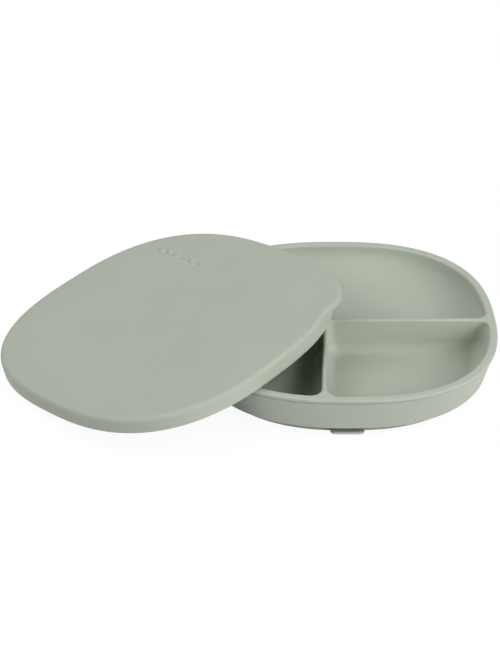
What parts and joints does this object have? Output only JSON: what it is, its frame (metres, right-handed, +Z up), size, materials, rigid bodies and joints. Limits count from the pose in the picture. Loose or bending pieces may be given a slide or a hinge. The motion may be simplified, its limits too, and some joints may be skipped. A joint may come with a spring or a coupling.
{
  "type": "suction bowl",
  "caption": "Divided suction bowl for a small child, with a leaning press-on lid, a finger pull tab and a sealing foot with a release tab.",
  "frame": {"origin": "centre of the suction foot, on the table that the bowl stands on", "axes": "+Z up out of the bowl, +X right along the row's longest side, away from the leaning lid, +Y towards the back"},
  "size_m": [0.309, 0.2106, 0.0513],
  "materials": {
    "silicone_bowl": "matte",
    "silicone_foot": "matte",
    "silicone_lid": "matte"
  },
  "bodies": {
    "bowl": {"bowl_floor": "silicone_bowl", "bowl_wall": "silicone_bowl", "divider_long": "silicone_bowl", "divider_cross": "silicone_bowl", "suction_rib": "silicone_foot", "suction_web": "silicone_foot"},
    "foot_ring": {"suction_lip": "silicone_foot"},
    "tab": {"release_tab": "silicone_foot"},
    "lid": {"lid_panel": "silicone_lid", "lid_skirt": "silicone_lid"},
    "pull_tab": {"lid_pull_tab": "silicone_lid"}
  },
  "joints": [
    {"name": "foot_press", "type": "slide", "parent": "bowl", "child": "foot_ring", "axis": [0, 0, 1], "range_m": [0, 0.0012], "stiffness_N_per_m": 2500, "springref_m": -0.0012, "deforming": ["suction_web"]},
    {"name": "release_tab_bend", "type": "hinge", "parent": "foot_ring", "child": "tab", "pos_m": [0, -0.0846, 0.0003], "axis": [-1, 0, 0], "range_deg": [-30, 10], "stiffness_Nm_per_rad": 0.05},
    {"name": "lid_lift", "type": "slide", "parent": "bowl", "child": "lid", "axis": [0, 0, 1], "range_m": [0, 0.12]},
    {"name": "pull_tab_bend", "type": "hinge", "parent": "lid", "child": "pull_tab", "pos_m": [-0.00646, -0.00563, 0.04797], "axis": [0.0017, -0.9999, -0.0171], "range_deg": [-30, 60], "stiffness_Nm_per_rad": 0.1}
  ]
}
